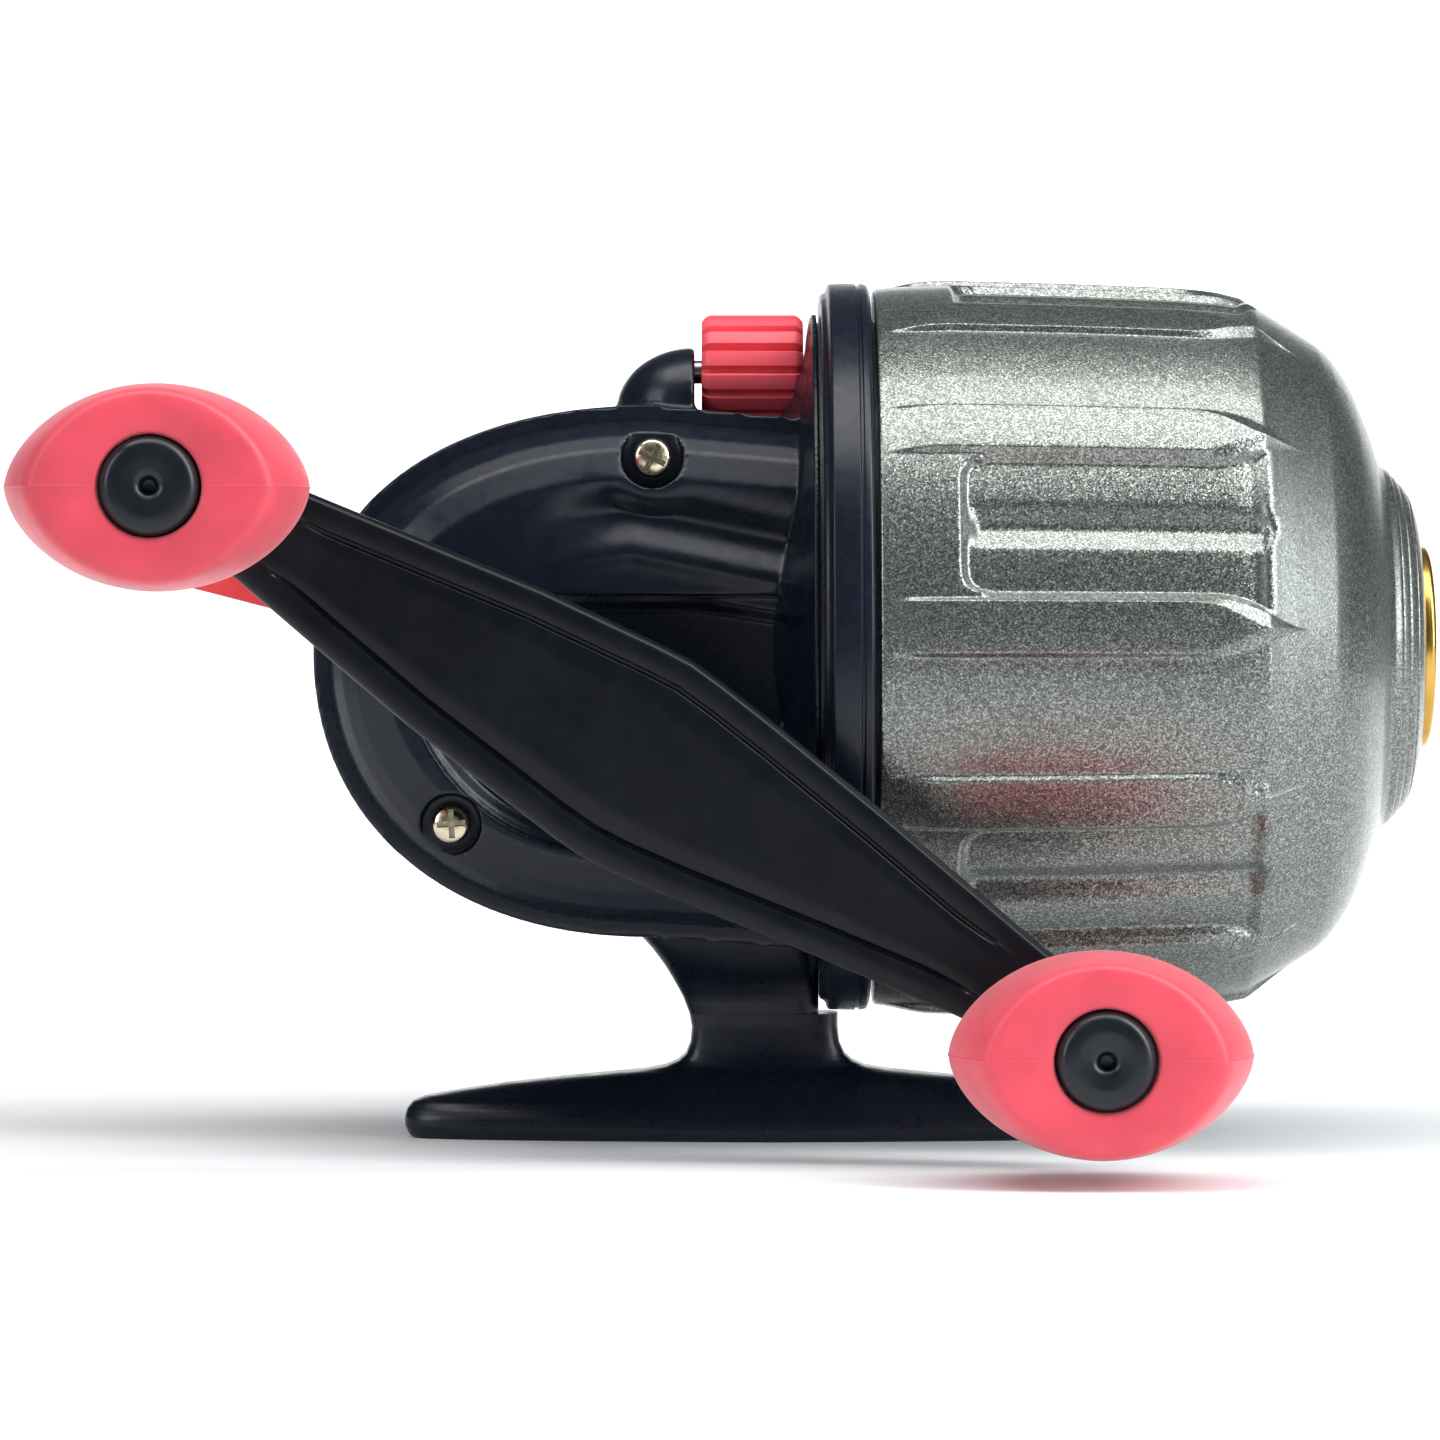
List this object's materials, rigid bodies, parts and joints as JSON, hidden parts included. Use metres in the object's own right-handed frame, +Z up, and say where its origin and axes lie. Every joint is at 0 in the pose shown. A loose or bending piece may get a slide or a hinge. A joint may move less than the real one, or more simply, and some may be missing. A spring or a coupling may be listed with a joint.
{
  "type": "spincast reel",
  "caption": "Closed-face spincast fishing reel with a two-knob crank, rear thumb button, ribbed drag dial and a ribbed nose cone with a round line guide.",
  "frame": {"origin": "centre of the foot's flat underside, which lies on the rod's reel seat", "axes": "+X out of the nose along the line axis, +Z up from the foot, -Y towards the crank"},
  "size_m": [0.1175, 0.0901, 0.0736],
  "materials": {
    "housing_black": "satin gloss",
    "cover_metal": "metallic flake under clear coat",
    "arm_black": "satin",
    "knob_red": "soft satin",
    "cap_black": "satin",
    "thumb_red": "satin",
    "dial_red": "satin",
    "gold": "polished",
    "deck_grey": "cast",
    "nickel": "polished",
    "steel": "turned",
    "brass": "machined",
    "spinner_metal": "satin",
    "nylon": "moulded",
    "line": "nylon monofilament",
    "felt": "felt"
  },
  "bodies": {
    "housing": {"body_frame": "housing_black", "side_cover": "housing_black", "side_cover_screws": "nickel", "reel_foot": "housing_black", "foot_screws": "nickel", "collar_ring": "housing_black", "deck_plate": "deck_grey", "deck_screws": "nickel", "thumb_pivot_pin": "steel", "crank_bush_near": "brass", "crank_bush_far": "brass", "pinion_bush_rear": "brass", "pinion_bush_front": "brass", "pawl_pin": "steel", "pawl_spring": "steel", "spool_hub": "nylon", "spool_clip": "steel", "pickup_cam": "nylon", "dial_axle": "steel", "drag_pins": "brass", "drag_plate": "steel", "drag_washer": "felt"},
    "cover": {"front_cover": "cover_metal", "line_guide": "gold"},
    "crank": {"crank_arm": "arm_black", "crankshaft": "steel", "crank_washer": "steel", "crank_clip": "steel", "drive_gear": "brass", "ratchet_wheel": "steel", "knob_spindle_rear": "steel", "knob_spindle_front": "steel"},
    "rear_grip": {"knob_rear": "knob_red", "knob_cap_rear": "cap_black"},
    "front_grip": {"knob_front": "knob_red", "knob_cap_front": "cap_black"},
    "pinion_set": {"pinion": "steel"},
    "spinner": {"centre_shaft": "steel", "spinner_head": "spinner_metal", "spinner_nut": "steel", "shaft_spring": "steel", "pickup_spring": "steel"},
    "pickup": {"pickup_pin": "steel"},
    "thumb": {"thumb_button": "thumb_red"},
    "pawl": {"anti_reverse_pawl": "steel"},
    "line_spool": {"spool": "nylon", "fishing_line": "line"},
    "dial": {"drag_dial": "dial_red"},
    "drag_ring": {"drag_gear": "nylon"}
  },
  "joints": [
    {"name": "crank_spin", "type": "hinge", "parent": "housing", "child": "crank", "pos_m": [-0.0116, 0, 0.0326], "axis": [0, 1, 0], "continuous": true},
    {"name": "rear_grip_spin", "type": "hinge", "parent": "crank", "child": "rear_grip", "pos_m": [-0.04884, 0, 0.05498], "axis": [0, 1, 0], "continuous": true},
    {"name": "front_grip_spin", "type": "hinge", "parent": "crank", "child": "front_grip", "pos_m": [0.02564, 0, 0.01022], "axis": [0, 1, 0], "continuous": true},
    {"name": "pinion_spin", "type": "hinge", "parent": "housing", "child": "pinion_set", "pos_m": [0, 0, 0.0421], "axis": [1, 0, 0], "continuous": true},
    {"name": "shaft_slide", "type": "slide", "parent": "pinion_set", "child": "spinner", "axis": [1, 0, 0], "range_m": [0, 0.00275], "stiffness_N_per_m": 350, "springref_m": -0.001, "deforming": ["shaft_spring"]},
    {"name": "pickup_slide", "type": "slide", "parent": "spinner", "child": "pickup", "axis": [0, 0, 1], "range_m": [-0.00185, 0]},
    {"name": "thumb_press", "type": "hinge", "parent": "housing", "child": "thumb", "pos_m": [-0.031, 0, 0.031], "axis": [0, 1, 0], "range_deg": [0, 14.3]},
    {"name": "pawl_swing", "type": "hinge", "parent": "housing", "child": "pawl", "pos_m": [-0.0267, 0, 0.0341], "axis": [0, 1, 0], "range_deg": [0, 9]},
    {"name": "spool_slip", "type": "hinge", "parent": "housing", "child": "line_spool", "pos_m": [0, 0, 0.0421], "axis": [1, 0, 0], "continuous": true},
    {"name": "dial_turn", "type": "hinge", "parent": "housing", "child": "dial", "pos_m": [0, 0, 0.0657], "axis": [1, 0, 0], "range_deg": [-144, 144]},
    {"name": "drag_ring_turn", "type": "hinge", "parent": "housing", "child": "drag_ring", "pos_m": [0, 0, 0.0421], "axis": [1, 0, 0], "range_deg": [-34, 34]},
    {"name": "cover_off", "type": "slide", "parent": "housing", "child": "cover", "axis": [1, 0, 0], "range_m": [0, 0.06]}
  ],
  "couplings": [
    {"joint": "pinion_spin", "follows": "crank_spin", "ratio": 2.75},
    {"joint": "thumb_press", "follows": "shaft_slide", "rad_per_m": 88.853},
    {"joint": "pickup_slide", "follows": "shaft_slide", "ratio": -0.65455},
    {"joint": "drag_ring_turn", "follows": "dial_turn", "ratio": -0.23077}
  ]
}
